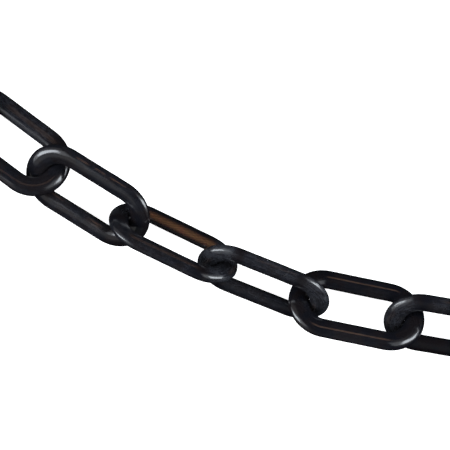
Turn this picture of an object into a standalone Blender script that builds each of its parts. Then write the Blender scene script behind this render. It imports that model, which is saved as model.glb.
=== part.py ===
"""A metre of blackened long-link chain, lying in an open horseshoe on a level floor.

Metres, +Z up. The origin is on the floor, under the middle of the chain's outline.
"""

import math

import bmesh
import bpy
import numpy as np
from mathutils import Matrix, Vector
from mathutils.bvhtree import BVHTree

# The link: oval wire bent to two straight rails and two half-circle ends
WIRE_WIDTH = 0.0080  # across the wire, in the plane of the link
WIRE_THICKNESS = 0.0054  # through the wire, square to that plane
OPENING_LENGTH = 0.0400
OPENING_WIDTH = 0.0145

END_RADIUS = (OPENING_WIDTH + WIRE_WIDTH) / 2  # of the wire's centre line around each end
END_REACH = (OPENING_LENGTH + WIRE_WIDTH) / 2  # from the link's centre to the wire's centre at its end
RAIL_HALF = END_REACH - END_RADIUS  # half the straight length of a rail

SECTION_SIDES = 14
END_STEPS = 10

# The lay, in whole degrees, from one free end of the chain to the other.
# A heading is the way a link's length points, counted from +X towards +Y.
# A lean turns the link about its length; above zero it lifts the rail on the left of the heading.
HEADINGS = (
    -176, -160, -143, -127, -111, -95, -78, -61, -47,
    -37, -32, -26, -22, -12, -10,
    2, 15, 29, 44, 60, 76, 92, 108, 125, 142,
)
LEANS = (
    45, -45, 45, -45, 45, -45, 45, -42, 32,
    -19, 34, -58, 56, -32, 42,
    -45, 45, -45, 45, -45, 45, -45, 45, -45, 45,
)
MIDDLE_LINK = 12  # the body that the links on both sides hang from, counted from 0

CLEARANCE = 0.0003  # left between two wires where they bear on each other
SEATING_STEPS = 14
HOOK_START = 0.0145  # height from which the hooked ends are let down to the floor
HOOK_STEPS = (0.0005, 0.00005, 0.000005)  # by which they are let down, ever finer
STEEPEST_RISE = 4  # degrees; the pull of its neighbours keeps a link from lying steeper

BLACKENED_STEEL = (0.016, 0.017, 0.021, 1.0)
METALLIC = 0.6
ROUGHNESS = 0.38


def wire_section(lean):
    """Corners of the oval around (outward, normal), with one side lying flat on the floor at that lean."""
    foot = math.atan2(-WIRE_THICKNESS * math.cos(lean), WIRE_WIDTH * math.sin(lean))
    half_side = math.pi / SECTION_SIDES
    corners = []
    for i in range(SECTION_SIDES):
        angle = foot + half_side * (2 * i + 1)
        outward = WIRE_WIDTH / 2 * math.cos(angle) / math.cos(half_side)
        normal = WIRE_THICKNESS / 2 * math.sin(angle) / math.cos(half_side)
        corners.append((outward, normal))
    return corners


def sweep_end(bm, ring, centre_x):
    """Carries a ring of edges half a turn around one end of the link, and returns the last ring."""
    swept = bmesh.ops.spin(
        bm,
        geom=ring,
        cent=(centre_x, 0, 0),
        axis=(0, 0, 1),
        angle=math.pi,
        steps=END_STEPS,
        use_duplicate=False,
    )
    return [e for e in swept["geom_last"] if isinstance(e, bmesh.types.BMEdge)]


def link_mesh(lean):
    """One link along X, its opening facing Z, for a link that lies at this lean (radians, no sign)."""
    bm = bmesh.new()
    corners = [
        bm.verts.new((RAIL_HALF, -END_RADIUS - outward, normal))
        for outward, normal in wire_section(lean)
    ]
    first = [bm.edges.new((corners[i - 1], corners[i])) for i in range(SECTION_SIDES)]
    far_end = sweep_end(bm, first, RAIL_HALF)
    rail = bmesh.ops.extrude_edge_only(bm, edges=far_end)
    rail_corners = [v for v in rail["geom"] if isinstance(v, bmesh.types.BMVert)]
    bmesh.ops.translate(bm, verts=rail_corners, vec=(-2 * RAIL_HALF, 0, 0))
    rail_ring = [
        e
        for e in rail["geom"]
        if isinstance(e, bmesh.types.BMEdge) and all(v in rail_corners for v in e.verts)
    ]
    near_end = sweep_end(bm, rail_ring, -RAIL_HALF)
    bmesh.ops.bridge_loops(bm, edges=near_end + first)
    bmesh.ops.recalc_face_normals(bm, faces=bm.faces)
    mesh = bpy.data.meshes.new("link")
    bm.to_mesh(mesh)
    bm.free()
    mesh.shade_smooth()
    return mesh


def blackened_steel():
    material = bpy.data.materials.new("blackened_steel")
    material.use_nodes = True
    shader = material.node_tree.nodes["Principled BSDF"]
    shader.inputs["Base Color"].default_value = BLACKENED_STEEL
    shader.inputs["Metallic"].default_value = METALLIC
    shader.inputs["Roughness"].default_value = ROUGHNESS
    return material


def turn_of(heading, rise, lean):
    """How a link is turned: rolled about its length, tipped up, then its length along the heading."""
    return (
        Matrix.Rotation(heading, 4, "Z")
        @ Matrix.Rotation(-rise, 4, "Y")
        @ Matrix.Rotation(lean, 4, "X")
    )


def rise_between(near_hook, far_hook):
    """The angle at which a link lies when the insides of its two ends bear at these heights."""
    return math.asin((far_hook - near_hook) / OPENING_LENGTH)


def can_lie(points, lean, near_hook, far_hook):
    """Whether a link with its ends at these two heights clears the floor and isn't too steep."""
    rise = rise_between(near_hook, far_hook)
    up = turn_of(0, rise, lean)[2][:3]
    clear = (near_hook + far_hook) / 2 + (points @ np.array(up)).min() >= 0
    return clear and abs(rise) <= math.radians(STEEPEST_RISE)


def settle_hooks(meshes, leans):
    """Heights of the ends that the links share, let down together until the links lie on the floor."""
    clouds = [np.array([v.co for v in mesh.vertices]) for mesh in meshes]
    hooks = [HOOK_START] * (len(leans) + 1)
    for step in HOOK_STEPS:
        lowered = True
        while lowered:
            lowered = False
            for i in range(len(hooks)):
                before = hooks[i]
                hooks[i] -= step
                beside = [j for j in (i - 1, i) if 0 <= j < len(leans)]
                if all(can_lie(clouds[j], leans[j], hooks[j], hooks[j + 1]) for j in beside):
                    lowered = True
                else:
                    hooks[i] = before
    return hooks


def placed_tree(mesh, matrix):
    """The mesh at a place, ready to be tested against another for touching."""
    points = [matrix @ v.co for v in mesh.vertices]
    return BVHTree.FromPolygons(points, [tuple(p.vertices) for p in mesh.polygons])


def seat_next(before, before_matrix, after, after_turn, height):
    """Draws the next link away along the run until its end bears on the link before it."""
    along = (before_matrix.col[0].to_3d() + after_turn.col[0].to_3d()).normalized()
    start = before_matrix @ Vector((END_REACH, 0, 0))
    before_tree = placed_tree(before, before_matrix)

    def place(drawn):
        near_end = start + along * (drawn - 2 * WIRE_WIDTH)
        centre = near_end + after_turn.col[0].to_3d() * END_REACH
        centre.z = height
        return Matrix.Translation(centre) @ after_turn

    free, touching = 0.0, WIRE_WIDTH * 2
    for _ in range(SEATING_STEPS):
        drawn = (free + touching) / 2
        if before_tree.overlap(placed_tree(after, place(drawn))):
            touching = drawn
        else:
            free = drawn
    return place(free - CLEARANCE)


def lay_chain():
    """Makes the link meshes and their places along the run, centred on the origin."""
    leans = [math.radians(n) for n in LEANS]
    meshes = [link_mesh(abs(lean)) for lean in leans]
    hooks = settle_hooks(meshes, leans)
    turns = [
        turn_of(math.radians(heading), rise_between(hooks[i], hooks[i + 1]), lean)
        for i, (heading, lean) in enumerate(zip(HEADINGS, leans))
    ]
    heights = [(hooks[i] + hooks[i + 1]) / 2 for i in range(len(leans))]
    places = [Matrix.Translation((0, 0, heights[0])) @ turns[0]]
    for i in range(1, len(turns)):
        places.append(seat_next(meshes[i - 1], places[-1], meshes[i], turns[i], heights[i]))
    points = [place @ v.co for mesh, place in zip(meshes, places) for v in mesh.vertices]
    middle = Vector(
        (
            (min(p.x for p in points) + max(p.x for p in points)) / 2,
            (min(p.y for p in points) + max(p.y for p in points)) / 2,
            min(p.z for p in points),
        )
    )
    return meshes, [Matrix.Translation(-middle) @ place for place in places]


def link_name(i):
    return f"link_{i + 1:02d}"


def swing_frame(inner, outer, toward):
    """Frame where the inner link's wire passes through the outer link's plane, its Z square to that plane.

    toward is 1 where the outer link follows the inner one along the run, and -1 where it goes before it.
    """
    normal = outer.col[2].to_3d()
    bend = inner @ Vector((toward * RAIL_HALF, 0, 0))
    offset = normal.dot(bend - outer.translation)
    outward = normal.dot(inner.col[0].to_3d()) * toward * END_RADIUS
    sideways = normal.dot(inner.col[1].to_3d()) * END_RADIUS
    middle = math.atan2(sideways, outward)
    spread = math.acos(-offset / math.hypot(outward, sideways))
    angle = min((middle - spread, middle + spread), key=lambda a: abs(math.remainder(a, 2 * math.pi)))
    point = bend + inner.to_3x3() @ Vector(
        (toward * END_RADIUS * math.cos(angle), END_RADIUS * math.sin(angle), 0)
    )
    return Matrix.Translation(point) @ outer.to_3x3().to_4x4()


def attach(child, parent, parent_matrix, matrix):
    """Parents an object and gives it its place in the world."""
    child.parent = parent
    child.matrix_parent_inverse = parent_matrix.inverted()
    child.matrix_basis = matrix


def build():
    for old in list(bpy.data.objects):
        bpy.data.objects.remove(old, do_unlink=True)
    collection = bpy.context.scene.collection
    material = blackened_steel()
    meshes, places = lay_chain()

    links = []
    for i, mesh in enumerate(meshes):
        mesh.name = link_name(i)
        mesh.materials.append(material)
        link = bpy.data.objects.new(link_name(i), mesh)
        link.matrix_basis = places[i]
        collection.objects.link(link)
        links.append(link)

    # each link outside the middle one swings on an empty that sits on its neighbour's wire
    for i, link in enumerate(links):
        if i == MIDDLE_LINK:
            continue
        toward = 1 if i > MIDDLE_LINK else -1
        inner = i - toward
        frame = swing_frame(places[inner], places[i], toward)
        pivot = bpy.data.objects.new(f"swing_{i + 1:02d}", None)
        pivot.empty_display_size = WIRE_WIDTH
        collection.objects.link(pivot)
        attach(pivot, links[inner], places[inner], frame)
        attach(link, pivot, frame, places[i])


build()
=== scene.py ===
import math
import random

import bpy
import numpy as np
from mathutils import Matrix, Vector, noise


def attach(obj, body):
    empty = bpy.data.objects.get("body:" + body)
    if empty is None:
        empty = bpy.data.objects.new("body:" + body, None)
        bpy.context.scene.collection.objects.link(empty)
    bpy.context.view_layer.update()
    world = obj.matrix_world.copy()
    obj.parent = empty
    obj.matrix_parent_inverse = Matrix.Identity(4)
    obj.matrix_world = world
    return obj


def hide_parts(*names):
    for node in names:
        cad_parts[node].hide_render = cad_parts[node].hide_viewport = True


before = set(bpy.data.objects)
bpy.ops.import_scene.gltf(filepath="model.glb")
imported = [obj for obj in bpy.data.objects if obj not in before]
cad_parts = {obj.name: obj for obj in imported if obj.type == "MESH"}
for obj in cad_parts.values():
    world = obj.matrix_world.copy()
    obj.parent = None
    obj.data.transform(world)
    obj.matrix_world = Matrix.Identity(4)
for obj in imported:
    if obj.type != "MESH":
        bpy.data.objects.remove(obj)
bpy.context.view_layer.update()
print("frame loaded:", len(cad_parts), "links")


class Level:
    # one output of a shader node; an expression on levels adds Math nodes
    def __init__(self, finish, socket):
        self.finish = finish
        self.socket = socket

    def __add__(self, other):
        return self.finish.maths("ADD", self, other)

    __radd__ = __add__

    def __sub__(self, other):
        return self.finish.maths("SUBTRACT", self, other)

    def __rsub__(self, other):
        return self.finish.maths("SUBTRACT", other, self)

    def __mul__(self, other):
        return self.finish.maths("MULTIPLY", self, other)

    __rmul__ = __mul__

    def __truediv__(self, other):
        return self.finish.maths("DIVIDE", self, other)

    def __abs__(self):
        return self.finish.maths("ABSOLUTE", self)


class Finish:
    # a material or a world, and its nodes
    def __init__(self, block, shader):
        block.use_nodes = True
        self.tree = block.node_tree
        self.shader = self.tree.nodes[shader]

    def feed(self, socket, value):
        if isinstance(value, Level):
            self.tree.links.new(value.socket, socket)
        else:
            socket.default_value = value

    def add(self, kind, settings, sockets, output=0):
        # settings come first, because some of them change which sockets a node has
        node = self.tree.nodes.new("ShaderNode" + kind)
        for name, value in settings.items():
            setattr(node, name, value)
        for name, value in sockets.items():
            self.feed(node.inputs[name], value)
        return Level(self, node.outputs[output])

    def maths(self, operation, *values):
        return self.add("Math", {"operation": operation}, dict(enumerate(values)))

    def between(self, value, low, high):
        # 0 below low, 1 above high, smooth on the way
        return self.add("MapRange", {"interpolation_type": "SMOOTHSTEP"},
                        {"Value": value, "From Min": low, "From Max": high})

    def colours(self, share, first, second):
        # sockets 6 and 7 and output 2 of this node are its colours
        return self.add("Mix", {"data_type": "RGBA"}, {"Factor": share, 6: first, 7: second}, 2)

    def grain(self, place, scale, detail, roughness):
        return self.add("TexNoise", {},
                        {"Vector": place, "Scale": scale, "Detail": detail, "Roughness": roughness})

    def drawn(self, scale, detail, roughness):
        # noise that is long along the wire and fine around it
        return self.add("TexNoise", {"noise_dimensions": "4D"},
                        {"Vector": self.attribute("loopPlace"), "W": self.attribute("sidePlace", 2),
                         "Scale": scale, "Detail": detail, "Roughness": roughness})

    def attribute(self, name, output=1):
        # output 1 is a vector, output 2 a number
        return self.add("Attribute", {"attribute_name": name}, {}, output)

    def axis(self, vector, number):
        return self.add("SeparateXYZ", {}, {"Vector": vector}, number)

    def shade(self, **sockets):
        for name, value in sockets.items():
            self.feed(self.shader.inputs[name.replace("_", " ")], value)


cameraLook = {
    "place": (-0.0620, -0.1244, 0.8125),  # looking straight down
    "roll": -0.29,  # degrees
    "lens": 159.3,
    "sensor": 36,
    "nearest": 0.01,
}


def makeCamera():
    data = bpy.data.cameras.new("camera")
    data.lens = cameraLook["lens"]
    data.sensor_width = cameraLook["sensor"]
    data.clip_start = cameraLook["nearest"]
    camera = bpy.data.objects.new("camera", data)
    camera.location = cameraLook["place"]
    camera.rotation_euler = (0, 0, math.radians(cameraLook["roll"]))
    bpy.context.scene.collection.objects.link(camera)
    bpy.context.scene.camera = camera


makeCamera()
print("camera made")


# lengths in metres, angles in degrees
linkShape = {
    "wireWidth": 0.0080,
    "wireThickness": 0.0054,
    "openingLength": 0.0400,
    "openingWidth": 0.0145,
    "stepsAround": 40,
    "stepsPerEnd": 32,
    "stepsPerRail": 26,
    # the wire is thicker on the inside of a bend: by how much, how far that lies from the middle of the
    # bend, and how many degrees it is turned to one flat side of a link and to the other of the next
    "crown": (0.00024, 0, 15),
    # the same for the crossings in view: 10 is where link_10 hooks link_11
    "crowns": {
        10: (0.00050, 0.0045, 5),
        11: (0.00031, 0, 15),
        12: (0.00036, 0, 15),
        13: (0.00035, 0, 15),
        14: (0.00028, 0, 15),
    },
    "ripple": 0.00005,
    "rippleLength": 0.005,
    "jointWidth": 0.00028,  # the hairline where the wire's two ends meet
    "jointDepth": 0.00009,
    "jointReach": 0.008,  # how far the rings beside a slanting joint lean with it
    # the drawn grain is read from two circles, for the ways along and around the wire: the smaller the
    # radius, the longer the grain is that way
    "grainAlong": 0.0024,
    "grainAround": 0.0033,
    "grainDrift": (0.31, 0.17, 0.23),  # from one link's grain to the next one's
}
endRadius = (linkShape["openingWidth"] + linkShape["wireWidth"]) / 2
railLength = linkShape["openingLength"] + linkShape["wireWidth"] - 2 * endRadius
endLength = math.pi * endRadius
loopLength = 2 * (railLength + endLength)

# places along the wire are in mm: 0 to 25.5 is a rail, to 60.8 a bend, to 86.3 a rail, to 121.7 a bend
# bronze: from, to, degrees around the wire at each (0 is the link's flat side, 90 its outside),
# half width in degrees, strength; short spots on the bends where links cross are partly contact wear and
# partly painted reflection
# patchy: how broken the bronze is; hazeAndSheen: from, to, strength of a haze film whose lighter grey is
# partly painted sheen; wax: how much of it is left
# joint: its place, and how far it slants
linkMarks = {
    "link_10": {
        "bronze": [(10, 44, 19, -2, 8, 0.2), (56, 84, -6, -4, 20, 0.2)],
        "patchy": 0.55,
        "hazeAndSheen": [(0, 50, 0.2), (58, 90, 0.7)],
        "wax": 0.45,
        "joint": (51, 0),
    },
    "link_11": {
        "bronze": [(-2, 6, -72, -70, 16, 0.35), (16, 25, -44, -42, 24, 0.5), (60.5, 69, 53, 51.5, 9, 0.82),
                   (70, 76.5, 51.5, 50.5, 9, 0.74), (77.5, 85, 50, 49, 8, 0.65)],
        "patchy": 0.9,
        "hazeAndSheen": [(-2, 28, 0.5), (50, 112, 0.25)],
        "wax": 0.5,
        "joint": (38, 0),
    },
    "link_12": {
        # the spot at 37 to 46 mm is partly contact wear and partly painted reflection in the shaded crossing
        "bronze": [(-5, 28, 21, 18, 15, 0.28), (37, 46, 42, 42, 20, 0.2), (55, 90, -49, -43, 43, 1.0)],
        "patchy": 0.25,
        # the strong haze on this link's bends is partly painted sheen that lightens its shaded crossings
        "hazeAndSheen": [(-14, 27, 0.45), (28, 60, 1.35), (87, 108, 1.6)],
        "wax": 0.9,
        "joint": (49, 0),
    },
    "link_13": {
        # the spots at 38 to 48 and 97 to 106 mm are partly contact wear and partly painted reflection in the
        # shaded crossings
        "bronze": [(38, 48, -22, -22, 20, 0.22), (62, 82, 72, 66, 12, 0.16), (97, 106, 5, 15, 20, 0.2)],
        "patchy": 0.8,
        # the strong haze on this link's bends is partly painted sheen that lightens its shaded crossings
        "hazeAndSheen": [(-4, 27, 0.55), (29, 61, 1.4), (60, 87, 0.8), (86, 117, 1.85)],
        "wax": 0.95,
        "joint": (69.2, -3.2),
    },
    "link_14": {
        "bronze": [(-6, 29, 17, 13, 7, 0.56), (56, 89, -2, -5, 7, 0.66)],
        "patchy": 0.4,
        "hazeAndSheen": [(0, 26, 0.2), (60, 88, 0.15)],
        "wax": 0.65,
        "joint": (50, 0),
    },
    "link_15": {
        # the spot at 98 to 108 mm is partly contact wear and partly painted reflection in the shaded crossing
        "bronze": [(68, 82, 62, 60, 10, 0.16), (98, 108, 20, 40, 20, 0.2)],
        "patchy": 0.8,
        "hazeAndSheen": [(60, 87, 0.6), (88, 112, 1.05)],
        "wax": 0.65,
        "joint": (114, 0),
    },
}

# the ranges from which the marks of the other links are drawn
otherMarks = {
    "seed": 100,
    "rails": (0, 61),  # where they start, in mm along the wire
    "stretches": (0, 30, 61, 91),  # of haze and painted sheen
    # a rail gets a line where its draw is below the first of these, or else a band, a spot or nothing
    "line": 0.5,
    "band": 0.62,
    "spot": 0.8,
    "lineReach": (-5, 29),  # from where its rail starts
    "lineSide": (-10, 55),
    "lineTurn": (-6, 6),
    "lineWidth": (6, 10),
    "lineStrength": (0.4, 0.9),
    "wideSide": (-60, 60),
    "bandReach": (-3, 28),
    "bandTurn": 6,
    "bandWidth": (28, 40),
    "bandStrength": (0.6, 0.95),
    "spotPlace": (4, 20),  # from where its rail starts to the spot's middle
    "spotReach": 5,
    "spotWidth": (14, 24),
    "spotStrength": 0.5,
    "hazeAndSheen": (0.2, 0.9),
    "hazeReach": (-2, 28),
    "patchy": (0.3, 0.9),
    "wax": (0.45, 0.9),
    "joints": (12.7, 73.5),  # the middles of the rails
    "jointShift": (-5, 5),
    "jointSlant": (-3, 3),
}


def drawMarks(number):
    # marks of the same kinds for a link that the photograph doesn't show
    pick = random.Random(otherMarks["seed"] + number)

    def draw(name):
        return pick.uniform(*otherMarks[name])

    def reach(start, name):
        first, last = otherMarks[name]
        return start + first, start + last

    bronze = []
    for start in otherMarks["rails"]:
        kind = pick.random()
        if kind < otherMarks["line"]:
            side = draw("lineSide")
            ends = (side, side + draw("lineTurn"))
            bronze.append((*reach(start, "lineReach"), *ends, draw("lineWidth"), draw("lineStrength")))
        elif kind < otherMarks["band"]:
            side = draw("wideSide")
            ends = (side, side + otherMarks["bandTurn"])
            bronze.append((*reach(start, "bandReach"), *ends, draw("bandWidth"), draw("bandStrength")))
        elif kind < otherMarks["spot"]:
            middle = start + draw("spotPlace")
            side = draw("wideSide")
            bronze.append((middle - otherMarks["spotReach"], middle + otherMarks["spotReach"], side, side,
                           draw("spotWidth"), otherMarks["spotStrength"]))
    hazeAndSheen = [(*reach(start, "hazeReach"), draw("hazeAndSheen")) for start in otherMarks["stretches"]]
    patchy = draw("patchy")
    wax = draw("wax")
    joint = (pick.choice(otherMarks["joints"]) + draw("jointShift"), draw("jointSlant"))
    return {"bronze": bronze, "patchy": patchy, "hazeAndSheen": hazeAndSheen, "wax": wax, "joint": joint}


def centreLine(s):
    # the wire's middle at a distance s along the loop, and the way out of the link there
    # s = 0 is the start of the rail on the -y side, which runs towards +x
    s = s % loopLength
    if s < railLength:
        return Vector((s - railLength / 2, -endRadius, 0)), Vector((0, -1, 0))
    s -= railLength
    if s < endLength:
        turn = s / endRadius - math.pi / 2
        out = Vector((math.cos(turn), math.sin(turn), 0))
        return Vector((railLength / 2, 0, 0)) + out * endRadius, out
    s -= endLength
    if s < railLength:
        return Vector((railLength / 2 - s, endRadius, 0)), Vector((0, 1, 0))
    s -= railLength
    turn = s / endRadius + math.pi / 2
    out = Vector((math.cos(turn), math.sin(turn), 0))
    return Vector((-railLength / 2, 0, 0)) + out * endRadius, out


def ringPlaces(joint):
    # distances along the loop, with three rings close together at the joint
    rail, end = linkShape["stepsPerRail"], linkShape["stepsPerEnd"]
    half = [railLength * i / rail for i in range(rail)]
    half += [railLength + endLength * i / end for i in range(end)]
    places = half + [railLength + endLength + s for s in half]
    width = linkShape["jointWidth"]
    places = [s for s in places if abs(s - joint) > width]
    return sorted(places + [joint - width / 2, joint, joint + width / 2])


markFades = {"bronze": 4, "hazeAndSheen": 5}  # mm along the wire


def span(s, start, end, fade):
    # 0 outside start to end, in mm along the loop, and 1 from a fade inside them, also across s = 0
    best = 0
    for shift in (-loopLength, 0, loopLength):
        place = (s + shift) * 1000
        best = max(best, min(1, (place - start) / fade, (end - place) / fade))
    return best * best * (3 - 2 * best)


def bronzeAt(bands, s):
    # degrees around the wire, half width and strength of the bronze at s
    found = (0, 10, 0)  # none, with a width only because the finish divides by it
    for start, end, first, last, width, strength in bands:
        share = span(s, start, end, min(markFades["bronze"], (end - start) / 3))
        if share > 0:
            place = s * 1000
            if place > end:
                place -= loopLength * 1000
            along = min(1, max(0, (place - start) / (end - start)))
            found = (first + (last - first) * along, width, strength * share)
    return found


def hazeAndSheenAt(spans, s):
    return sum(strength * span(s, start, end, markFades["hazeAndSheen"]) for start, end, strength in spans)


def crownAt(number, s):
    # how much thicker the wire is at s, and around which angle of it
    end = 1 if centreLine(s)[1].x > 0 else -1
    growth, shift, tilt = linkShape["crowns"].get(number + max(end, 0), linkShape["crown"])
    bend = max(0, end * centreLine(s - end * shift)[1].x) ** 2
    side = 1 if number % 2 else -1
    return bend * growth, math.radians(side * tilt - 90)


def linkMesh(name, number, place, marks):
    # the link's own axes are x along it, y across it and z square to it; place puts them in the row frame
    around = linkShape["stepsAround"]
    alongRadius, aroundRadius = linkShape["grainAlong"], linkShape["grainAround"]
    joint, slant = (mm / 1000 for mm in marks["joint"])
    rings = ringPlaces(joint)
    drift = Vector([number * shift for shift in linkShape["grainDrift"]])
    # own is where the clouded grain is read, and loop and side where the drawn grain is
    # corners holds s and degrees around the wire for each corner of each face, so that they don't run
    # backwards where the loop closes
    points, own, loop, side, bronze, wearAndSheen, faces, corners = [], [], [], [], [], [], [], []
    for s in rings:
        band = bronzeAt(marks["bronze"], s)
        hazeAndSheen = hazeAndSheenAt(marks["hazeAndSheen"], s)
        lean = max(0, 1 - abs(s - joint) / linkShape["jointReach"]) * slant
        full, fullest = crownAt(number, s)
        dip = linkShape["jointDepth"] if s == joint else 0
        angle = 2 * math.pi * s / loopLength
        for k in range(around):
            turn = 2 * math.pi * k / around - math.pi
            middle, out = centreLine(s + lean * math.sin(turn))
            way = (out * math.sin(turn) + Vector((0, 0, math.cos(turn)))).normalized()
            point = middle + out * math.sin(turn) * linkShape["wireWidth"] / 2
            point.z += math.cos(turn) * linkShape["wireThickness"] / 2
            point += way * full * max(0, math.cos(turn - fullest)) ** 2
            wave = noise.noise(point / linkShape["rippleLength"] + drift)
            own.append(point + drift)
            points.append(place @ (point + way * (wave * linkShape["ripple"] - dip)))
            loop.append((math.cos(angle) * alongRadius, math.sin(angle) * alongRadius,
                         math.cos(turn) * aroundRadius + number))
            side.append(math.sin(turn) * aroundRadius)
            bronze.append(band)
            wearAndSheen.append((hazeAndSheen, marks["patchy"], marks["wax"]))
    for i, s in enumerate(rings):
        j = (i + 1) % len(rings)
        later = rings[j] if j else loopLength + rings[0]
        for k in range(around):
            m = (k + 1) % around
            faces.append((i * around + k, i * around + m, j * around + m, j * around + k))
            turn, nextTurn = 360 * k / around - 180, 360 * (k + 1) / around - 180
            corners += [(s, turn, 0), (s, nextTurn, 0), (later, nextTurn, 0), (later, turn, 0)]
    mesh = bpy.data.meshes.new(name)
    mesh.from_pydata(points, [], faces)
    mesh.attributes.new("wirePlace", "FLOAT_VECTOR", "CORNER").data.foreach_set("vector", np.ravel(corners))
    mesh.attributes.new("sidePlace", "FLOAT", "POINT").data.foreach_set("value", side)
    for title, values in (("linkPlace", own), ("loopPlace", loop), ("bronze", bronze), ("wearAndSheen", wearAndSheen)):
        mesh.attributes.new(title, "FLOAT_VECTOR", "POINT").data.foreach_set("vector", np.ravel(values))
    mesh.shade_smooth()
    return mesh


def linkPlaces():
    # each packed link's middle and axes, read from its corners; its x points on to the next link
    middles, ways = [], []
    for name in sorted(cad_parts):
        corners = np.array([v.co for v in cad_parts[name].data.vertices], float)
        corners = np.unique(corners.round(7), axis=0)
        middles.append(Vector(corners.mean(0)))
        ways.append([Vector(w) for w in np.linalg.svd(corners - corners.mean(0), full_matrices=False)[2]])
    places = []
    for i, (middle, (along, across, normal)) in enumerate(zip(middles, ways)):
        before, after = middles[max(i - 1, 0)], middles[min(i + 1, len(middles) - 1)]
        if along.dot(after - before) < 0:
            along = -along
        if normal.z < 0:
            normal = -normal
        turn = Matrix((along, normal.cross(along), normal)).transposed()
        places.append(Matrix.Translation(middle) @ turn.to_4x4())
    return places


steelLook = {
    "black": (0.0048, 0.0050, 0.0072, 1),
    "warmBlack": (0.0068, 0.0056, 0.0066, 1),
    # lighter grey of the haze film, partly painted sheen
    "hazeAndSheen": (0.0250, 0.0265, 0.0320, 1),
    "bronze": (0.100, 0.0490, 0.0235, 1),
    "copper": (0.114, 0.0440, 0.0255, 1),
    "tanAndReflection": (0.090, 0.0540, 0.0360, 1),  # of a thin line of bronze, and of the short spots at the crossings, which are partly painted reflection
    "polish": 0.07,  # roughness where it is rubbed smooth
    "dullness": 0.08,  # added where streaks and blotches have dulled it
    "hazeDullness": 0.05,
    "bronzeDullness": 0.1,
    "gloss": 0.30,  # of the metal under the wax
    "waxRoughness": 0.09,
    "waxFull": 0.75,  # how thick the wax is, and what the streaks and the haze take off it
    "streaksOffWax": 0.6,
    "hazeOffWax": 0.15,
    # clouded grains: scale, detail, roughness
    "cloud": (160, 2, 0.55),
    "film": (480, 3, 0.6),
    "blotch": (420, 4, 0.6),
    "speck": (2300, 3, 0.7),
    # grains drawn out along the wire
    "streak": (2600, 3, 0.6),
    "groove": (620, 1, 0.6),
    # where one look turns into the next, on the grain that decides it
    "warmEdges": (0.42, 0.6),
    "copperEdges": (0.5, 0.66),
    "wornEdges": (0.46, 0.74),
    "hazeEdges": (0.45, 0.71),
    "bandEdges": (20, 30),  # half width in degrees at which a line counts as a band
    "hazeGrain": (0.45, 0.55, 0.12),  # film, streak and speck in the haze
    "hazeLeast": 0.2,  # between its streaks
    # how much of the haze's lighter grey, partly painted sheen, covers the black
    "hazeAndSheenCover": 0.75,
    "lineCore": 0.35,  # share of a line's half width before it fades
    "hatchPitch": 4600,  # radians to a metre along the wire
    "hatchSlant": 0.45,  # radians to a degree around it
    "hatchWander": 7,
    "hatchDepth": (0.78, 0.3),  # strength of the bronze under the hatching, and how far it is swung
    "cloudInWear": 0.25,
    "grainDepth": 0.00003,
    "relief": (9, 0.2, 0.12, 0.18),  # groove, streak, speck and blotch in the bump
}


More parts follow.
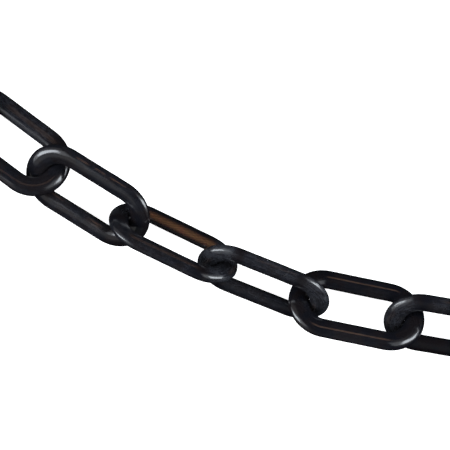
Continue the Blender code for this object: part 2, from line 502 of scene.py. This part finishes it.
def makeSteel():
    look = steelLook
    material = bpy.data.materials.new("blackenedSteel")
    steel = Finish(material, "Principled BSDF")
    own = steel.attribute("linkPlace")
    wire = steel.attribute("wirePlace")
    turn = steel.axis(wire, 1)
    along = steel.axis(wire, 0)
    wearAndSheen = steel.attribute("wearAndSheen")
    patchy = steel.axis(wearAndSheen, 1)

    cloud = steel.grain(own, *look["cloud"])
    blotch = steel.grain(own, *look["blotch"])
    speck = steel.grain(own, *look["speck"])
    streak = steel.drawn(*look["streak"])
    groove = steel.drawn(*look["groove"])

    # haze is a film that rubbing has drawn into streaks; its lighter grey is partly painted sheen, standing
    # in for the lamps' broad reflection and lightening the shaded crossings
    film = steel.grain(own, *look["film"])
    ofFilm, ofStreak, ofSpeck = look["hazeGrain"]
    rubbedAndSheen = steel.between(ofFilm * film + ofStreak * streak + ofSpeck * speck, *look["hazeEdges"])
    hazeAndSheen = (look["hazeLeast"] + rubbedAndSheen) * steel.axis(wearAndSheen, 0)

    # bronze shows through in lines and bands, broken along the wire; bands have fine slanting hatching; the
    # short spots at the crossings are partly contact wear and partly painted reflection
    band = steel.attribute("bronze")
    offset = abs(turn - steel.axis(band, 0)) / steel.axis(band, 1)
    wide = steel.between(steel.axis(band, 1), *look["bandEdges"])
    hatch = along * look["hatchPitch"] + turn * look["hatchSlant"] + blotch * look["hatchWander"]
    hatch = steel.maths("SINE", hatch) * wide
    plain, hatched = look["hatchDepth"]
    worn = steel.between(streak + look["cloudInWear"] * cloud, *look["wornEdges"])
    broken = 1 - patchy * (1 - worn)
    across = 1 - steel.between(offset, look["lineCore"] * (1 - wide), 1)
    bronze = across * steel.axis(band, 2) * broken * (plain + hatched * hatch)

    ground = steel.colours(steel.between(cloud, *look["warmEdges"]), look["black"], look["warmBlack"])
    # the haze's lighter grey, partly painted sheen, laid over the black
    ground = steel.colours(hazeAndSheen * look["hazeAndSheenCover"], ground, look["hazeAndSheen"])
    metal = steel.colours(steel.between(blotch, *look["copperEdges"]), look["bronze"], look["copper"])
    # narrow marks take the tan: real thin bronze lines, and the crossing spots that are partly painted
    # reflection
    metal = steel.colours(wide, look["tanAndReflection"], metal)
    dull = look["polish"] + look["dullness"] * (streak + blotch)
    wax = steel.axis(wearAndSheen, 2) * (1 - look["hazeOffWax"] * hazeAndSheen)
    wax = wax * (look["waxFull"] - look["streaksOffWax"] * streak)
    grooves, streaks, specks, blotches = look["relief"]
    height = grooves * groove + streaks * streak + specks * speck + blotches * blotch
    steel.shade(
        Base_Color=steel.colours(bronze, ground, metal),
        Roughness=dull + look["hazeDullness"] * hazeAndSheen + look["bronzeDullness"] * bronze,
        Specular_IOR_Level=look["gloss"],
        Coat_Weight=wax,
        Coat_Roughness=look["waxRoughness"],
        Normal=steel.add("Bump", {}, {"Strength": 1, "Distance": look["grainDepth"], "Height": height}),
    )
    return material


def makeLinks():
    steel = makeSteel()
    for number, place in enumerate(linkPlaces()):
        name = f"link_{number + 1:02d}"
        marks = linkMarks.get(name) or drawMarks(number)
        mesh = linkMesh(name + "_wire", number, place, marks)
        mesh.materials.append(steel)
        link = bpy.data.objects.new(name + "_wire", mesh)
        bpy.context.scene.collection.objects.link(link)
        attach(link, name)
        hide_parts(name)


makeLinks()
print("links made")


stageLook = {
    "target": (-0.062, -0.124, 0.012),
    # azimuth and angle above the level in degrees, distance, width, height, power, colour, seen in the gloss
    "lamps": {
        "rightCore": (2, 30, 0.85, 0.30, 0.50, 6, (0.88, 0.94, 1.0), True),
        "rightHalo": (2, 33, 0.90, 0.60, 1.10, 3.3, (0.88, 0.94, 1.0), True),
        "leftCore": (180, 30, 0.85, 0.30, 0.50, 6, (0.88, 0.94, 1.0), True),
        "leftHalo": (180, 33, 0.90, 0.60, 1.10, 3.3, (0.88, 0.94, 1.0), True),
        "leftGlow": (180, 33, 1.3, 2.4, 1.3, 5, (1.0, 0.98, 0.96), True),
        "rightGlow": (0, 33, 1.3, 1.8, 1.3, 2.6, (1.0, 0.98, 0.96), True),
        "lowFill": (-115, 35, 1.5, 2.4, 1.6, 1.5, (0.9, 0.95, 1.0), True),
        "ceiling": (-90, 88, 1.6, 2.5, 2.5, 17, (1, 1, 1), False),
    },
    "floorSize": 12,
    "paper": (0.8, 0.8, 0.8, 1),
    "paperRoughness": 0.9,
    "glow": (1, 1, 1, 1),
    "paperGlow": 0.88,
    "seen": (1, 1, 1, 1),  # the room as the camera sees it, and as the gloss does
    "reflected": (0.004, 0.004, 0.004, 1),
}


def makeStage():
    scene = bpy.context.scene
    scene.view_settings.view_transform = "Standard"
    bpy.ops.mesh.primitive_plane_add(size=stageLook["floorSize"], location=(0, 0, 0))
    floor = bpy.context.object
    floor.name = "floor"
    floor.data.materials.append(bpy.data.materials.new("paper"))
    paper = Finish(floor.data.materials[0], "Principled BSDF")
    paper.shade(Base_Color=stageLook["paper"], Roughness=stageLook["paperRoughness"],
                Emission_Color=stageLook["glow"], Emission_Strength=stageLook["paperGlow"])
    floor.visible_glossy = False
    floor.visible_diffuse = False

    target = Vector(stageLook["target"])
    for name, (azimuth, rise, distance, width, height, power, colour, glossy) in stageLook["lamps"].items():
        azimuth, rise = math.radians(azimuth), math.radians(rise)
        way = Vector((math.cos(rise) * math.cos(azimuth), math.cos(rise) * math.sin(azimuth), math.sin(rise)))
        data = bpy.data.lights.new(name, "AREA")
        data.shape = "RECTANGLE"
        data.size, data.size_y = width, height
        data.energy = power
        data.color = colour
        lamp = bpy.data.objects.new(name, data)
        lamp.location = target + way * distance
        lamp.rotation_euler = way.to_track_quat("Z", "Y").to_euler()
        lamp.visible_glossy = glossy
        lamp.visible_camera = False
        scene.collection.objects.link(lamp)

    # the room is white to the camera and dark in the gloss
    scene.world = bpy.data.worlds.new("room")
    room = Finish(scene.world, "Background")
    seen = room.add("LightPath", {}, {}, "Is Camera Ray")
    room.shade(Color=room.colours(seen, stageLook["reflected"], stageLook["seen"]))


makeStage()
print("stage made")
